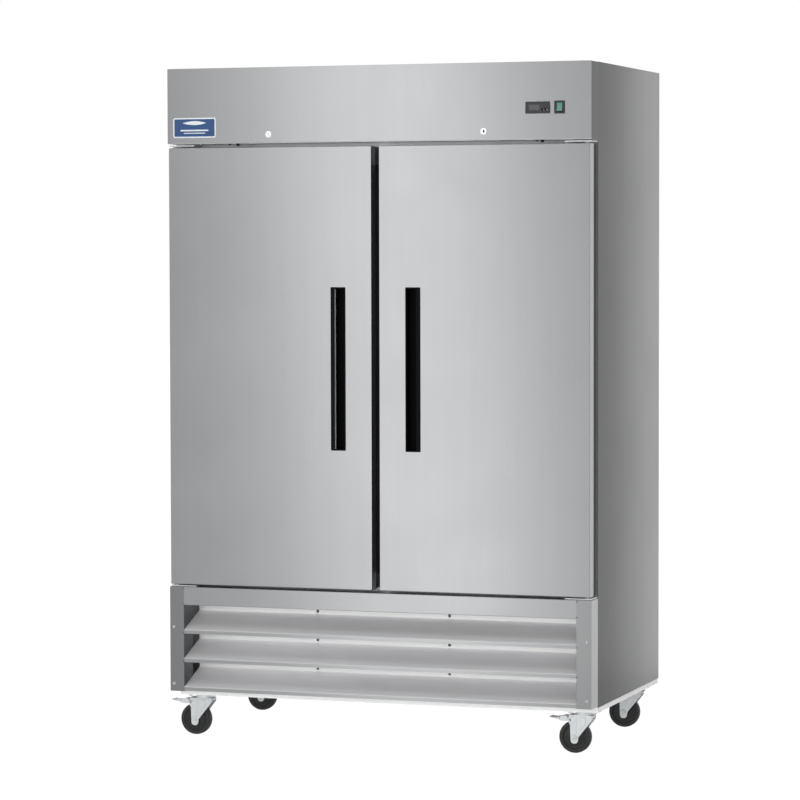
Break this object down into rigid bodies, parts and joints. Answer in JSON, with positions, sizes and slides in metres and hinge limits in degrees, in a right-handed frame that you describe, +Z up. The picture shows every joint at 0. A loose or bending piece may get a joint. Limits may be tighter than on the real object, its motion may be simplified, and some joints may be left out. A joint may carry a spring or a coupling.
{
  "type": "reach in refrigerator",
  "caption": "Upright stainless commercial refrigerator with two solid doors, louvred base grille, header with controls, wire shelves, refrigeration unit below, on casters.",
  "frame": {"origin": "on the floor, under the middle of the cabinet", "axes": "+X to the viewer's right when facing the doors, +Y to the rear, +Z up"},
  "size_m": [1.419, 0.8141, 2.102],
  "materials": {
    "stainless": "brushed stainless, vertical grain",
    "stainless_side": "brushed stainless side sheet",
    "stainless_frame": "stainless frame",
    "galvanised": "galvanised sheet",
    "liner": "stucco aluminium",
    "foam": "polyurethane foam, matte",
    "badge": "printed blue aluminium",
    "black_plastic": "moulded black",
    "inner_plastic": "thermoformed grey",
    "key": "light grey keys",
    "green_rocker": "translucent green",
    "chrome": "polished",
    "zinc": "bright zinc plate",
    "lamp": "opal diffuser",
    "fins": "aluminium fins",
    "fan_plastic": "moulded black",
    "compressor_black": "black enamel",
    "copper": "drawn copper tube",
    "gasket": "dark grey vinyl",
    "shelf_wire": "grey epoxy coated wire",
    "screw": "stainless screws",
    "wheel_black": "black polyolefin"
  },
  "bodies": {
    "cabinet": {"badge_plate": "badge", "base_frame": "galvanised", "body_frame": "stainless_frame", "cabinet_insulation": "foam", "caster_plates": "zinc", "compressor": "compressor_black", "condensate_pan": "galvanised", "condenser_unit": "fins", "controller_housing": "black_plastic", "cord_gland": "black_plastic", "evaporator_cover": "liner", "evaporator_unit": "fins", "header_panel": "stainless", "hinge_brackets": "zinc", "inner_liner": "liner", "interior_light": "lamp", "lock_bodies": "chrome", "louvre_grille": "stainless", "panel_screws": "screw", "rear_grille": "galvanised", "rear_panel": "galvanised", "refrigerant_lines": "copper", "shelf_pilasters_and_clips": "zinc", "side_panel_left": "stainless_side", "side_panel_right": "stainless_side", "switch_bezel": "black_plastic", "top_panel": "galvanised"},
    "left_door": {"left_door_skin": "stainless", "left_door_insulation": "foam", "left_door_inner_panel": "inner_plastic", "left_door_gasket": "gasket", "left_door_handle": "black_plastic"},
    "right_door": {"right_door_skin": "stainless", "right_door_insulation": "foam", "right_door_inner_panel": "inner_plastic", "right_door_gasket": "gasket", "right_door_handle": "black_plastic"},
    "lock_left": {"lock_cylinder_left": "chrome"},
    "lock_right": {"lock_cylinder_right": "chrome"},
    "power_rocker": {"power_rocker": "green_rocker"},
    "key_left": {"controller_key_left": "key"},
    "key_right": {"controller_key_right": "key"},
    "evaporator_fan": {"evaporator_fan": "fan_plastic"},
    "condenser_fan": {"condenser_fan": "fan_plastic"},
    "shelf_left_1": {"shelf_left_1": "shelf_wire"},
    "shelf_left_2": {"shelf_left_2": "shelf_wire"},
    "shelf_left_3": {"shelf_left_3": "shelf_wire"},
    "shelf_right_1": {"shelf_right_1": "shelf_wire"},
    "shelf_right_2": {"shelf_right_2": "shelf_wire"},
    "shelf_right_3": {"shelf_right_3": "shelf_wire"},
    "caster_front_left": {"caster_fork_front_left": "zinc"},
    "wheel_front_left": {"caster_wheel_front_left": "wheel_black"},
    "caster_front_right": {"caster_fork_front_right": "zinc"},
    "wheel_front_right": {"caster_wheel_front_right": "wheel_black"},
    "caster_rear_left": {"caster_fork_rear_left": "zinc"},
    "wheel_rear_left": {"caster_wheel_rear_left": "wheel_black"},
    "caster_rear_right": {"caster_fork_rear_right": "zinc"},
    "wheel_rear_right": {"caster_wheel_rear_right": "wheel_black"},
    "pedal_front_left": {"brake_pedal_front_left": "zinc"},
    "pedal_front_right": {"brake_pedal_front_right": "zinc"}
  },
  "joints": [
    {"name": "left_door_hinge", "type": "hinge", "parent": "cabinet", "child": "left_door", "pos_m": [-0.668, -0.381, 1.174], "axis": [0, 0, -1], "range_deg": [0, 110], "stiffness_Nm_per_rad": 1.2, "springref_deg": -14.32},
    {"name": "right_door_hinge", "type": "hinge", "parent": "cabinet", "child": "right_door", "pos_m": [0.668, -0.381, 1.174], "axis": [0, 0, 1], "range_deg": [0, 110], "stiffness_Nm_per_rad": 1.2, "springref_deg": -14.32},
    {"name": "left_lock_turn", "type": "hinge", "parent": "cabinet", "child": "lock_left", "pos_m": [-0.348, -0.39, 1.895], "axis": [0, 1, 0], "range_deg": [0, 90]},
    {"name": "right_lock_turn", "type": "hinge", "parent": "cabinet", "child": "lock_right", "pos_m": [0.348, -0.39, 1.895], "axis": [0, 1, 0], "range_deg": [0, 90]},
    {"name": "power_rocker_tilt", "type": "hinge", "parent": "cabinet", "child": "power_rocker", "pos_m": [0.5865, -0.398, 1.9645], "axis": [1, 0, 0], "range_deg": [0, 16]},
    {"name": "controller_key_left_press", "type": "slide", "parent": "cabinet", "child": "key_left", "axis": [0, 1, 0], "range_m": [0, 0.0008], "stiffness_N_per_m": 400, "springref_m": -0.0005},
    {"name": "controller_key_right_press", "type": "slide", "parent": "cabinet", "child": "key_right", "axis": [0, 1, 0], "range_m": [0, 0.0008], "stiffness_N_per_m": 400, "springref_m": -0.0005},
    {"name": "evaporator_fan_spin", "type": "hinge", "parent": "cabinet", "child": "evaporator_fan", "pos_m": [0, -0.036, 1.948], "axis": [0, 1, 0], "continuous": true},
    {"name": "condenser_fan_spin", "type": "hinge", "parent": "cabinet", "child": "condenser_fan", "pos_m": [-0.32, -0.136, 0.312], "axis": [0, 1, 0], "continuous": true},
    {"name": "shelf_left_1_lift", "type": "slide", "parent": "cabinet", "child": "shelf_left_1", "axis": [0, 0, 1], "range_m": [0, 0.03]},
    {"name": "shelf_left_2_lift", "type": "slide", "parent": "cabinet", "child": "shelf_left_2", "axis": [0, 0, 1], "range_m": [0, 0.03]},
    {"name": "shelf_left_3_lift", "type": "slide", "parent": "cabinet", "child": "shelf_left_3", "axis": [0, 0, 1], "range_m": [0, 0.03]},
    {"name": "shelf_right_1_lift", "type": "slide", "parent": "cabinet", "child": "shelf_right_1", "axis": [0, 0, 1], "range_m": [0, 0.03]},
    {"name": "shelf_right_2_lift", "type": "slide", "parent": "cabinet", "child": "shelf_right_2", "axis": [0, 0, 1], "range_m": [0, 0.03]},
    {"name": "shelf_right_3_lift", "type": "slide", "parent": "cabinet", "child": "shelf_right_3", "axis": [0, 0, 1], "range_m": [0, 0.03]},
    {"name": "caster_front_left_swivel", "type": "hinge", "parent": "cabinet", "child": "caster_front_left", "pos_m": [-0.626, -0.262, 0.114], "axis": [0, 0, 1], "continuous": true},
    {"name": "wheel_front_left_roll", "type": "hinge", "parent": "caster_front_left", "child": "wheel_front_left", "pos_m": [-0.655, -0.262, 0.05], "axis": [0, 1, 0], "continuous": true},
    {"name": "caster_front_right_swivel", "type": "hinge", "parent": "cabinet", "child": "caster_front_right", "pos_m": [0.626, -0.262, 0.114], "axis": [0, 0, 1], "continuous": true},
    {"name": "wheel_front_right_roll", "type": "hinge", "parent": "caster_front_right", "child": "wheel_front_right", "pos_m": [0.597, -0.262, 0.05], "axis": [0, 1, 0], "continuous": true},
    {"name": "caster_rear_left_swivel", "type": "hinge", "parent": "cabinet", "child": "caster_rear_left", "pos_m": [-0.626, 0.313, 0.114], "axis": [0, 0, 1], "continuous": true},
    {"name": "wheel_rear_left_roll", "type": "hinge", "parent": "caster_rear_left", "child": "wheel_rear_left", "pos_m": [-0.655, 0.313, 0.05], "axis": [0, 1, 0], "continuous": true},
    {"name": "caster_rear_right_swivel", "type": "hinge", "parent": "cabinet", "child": "caster_rear_right", "pos_m": [0.626, 0.313, 0.114], "axis": [0, 0, 1], "continuous": true},
    {"name": "wheel_rear_right_roll", "type": "hinge", "parent": "caster_rear_right", "child": "wheel_rear_right", "pos_m": [0.597, 0.313, 0.05], "axis": [0, 1, 0], "continuous": true},
    {"name": "brake_pedal_front_left_press", "type": "hinge", "parent": "caster_front_left", "child": "pedal_front_left", "pos_m": [-0.668, -0.262, 0.1043], "axis": [0, -1, 0], "range_deg": [0, 7]},
    {"name": "brake_pedal_front_right_press", "type": "hinge", "parent": "caster_front_right", "child": "pedal_front_right", "pos_m": [0.584, -0.262, 0.1043], "axis": [0, -1, 0], "range_deg": [0, 7]}
  ]
}
